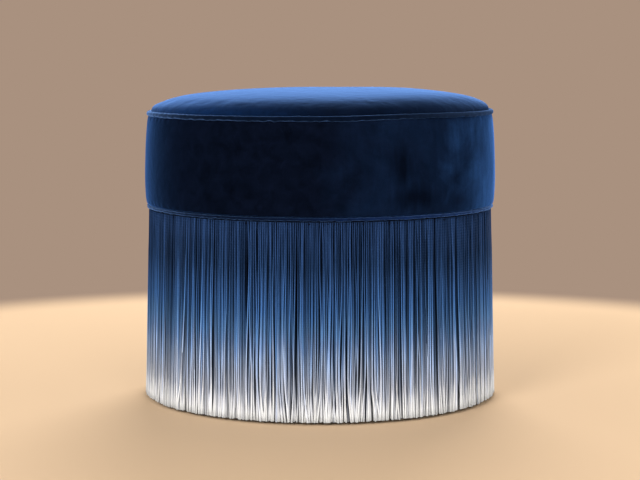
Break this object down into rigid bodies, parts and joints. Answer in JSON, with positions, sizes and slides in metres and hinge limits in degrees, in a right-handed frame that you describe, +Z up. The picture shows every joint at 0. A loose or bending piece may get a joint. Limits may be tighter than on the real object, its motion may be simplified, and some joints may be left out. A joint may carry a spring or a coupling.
{
  "type": "round upholstered tuffet",
  "caption": "Round velvet tuffet with a crowned, piped seat cushion on a wooden drum, hidden by a long hanging fringe that reaches almost to the floor.",
  "frame": {"origin": "on the floor, in the middle of the base, where the vertical axis of the drum meets it", "axes": "+Z up along the drum's axis, -Y to the front, towards the viewer of the picture, +X to the viewer's right"},
  "size_m": [0.451, 0.451, 0.3971],
  "materials": {
    "velvet": "short-pile velvet, royal to navy blue",
    "fringe_yarn": "twisted yarn, dip-dyed from navy at the head to white at the tips",
    "lining_cloth": "plain woven, black",
    "dust_cloth": "spun-bonded, black",
    "foam": "upholstery foam",
    "wadding": "polyester wadding",
    "plywood": "sawn birch plywood",
    "pine": "planed softwood",
    "hardboard": "smooth hardboard",
    "glide_plastic": "moulded, matte black",
    "zinc_steel": "bright zinc plate"
  },
  "bodies": {
    "root": {"base_board": "plywood", "seat_board": "plywood", "middle_rail": "plywood", "post_front": "pine", "post_right": "pine", "post_back": "pine", "post_left": "pine", "base_screw_front": "zinc_steel", "base_screw_right": "zinc_steel", "base_screw_back": "zinc_steel", "base_screw_left": "zinc_steel", "seat_screw_front": "zinc_steel", "seat_screw_right": "zinc_steel", "seat_screw_back": "zinc_steel", "seat_screw_left": "zinc_steel", "rail_screw_front": "zinc_steel", "rail_screw_right": "zinc_steel", "rail_screw_back": "zinc_steel", "rail_screw_left": "zinc_steel", "drum_wrap": "hardboard", "drum_lining": "lining_cloth", "dust_cover": "dust_cloth", "glide_front_left": "glide_plastic", "glide_front_right": "glide_plastic", "glide_back_right": "glide_plastic", "glide_back_left": "glide_plastic", "glide_screw_front_left": "zinc_steel", "glide_screw_front_right": "zinc_steel", "glide_screw_back_right": "zinc_steel", "glide_screw_back_left": "zinc_steel", "seat_foam": "foam", "band_foam": "foam", "seat_wadding": "wadding", "top_panel": "velvet", "band_cover": "velvet", "top_piping": "velvet", "lower_piping": "velvet", "fringe_front": "fringe_yarn", "fringe_right": "fringe_yarn", "fringe_back": "fringe_yarn", "fringe_left": "fringe_yarn"}
  },
  "joints": []
}
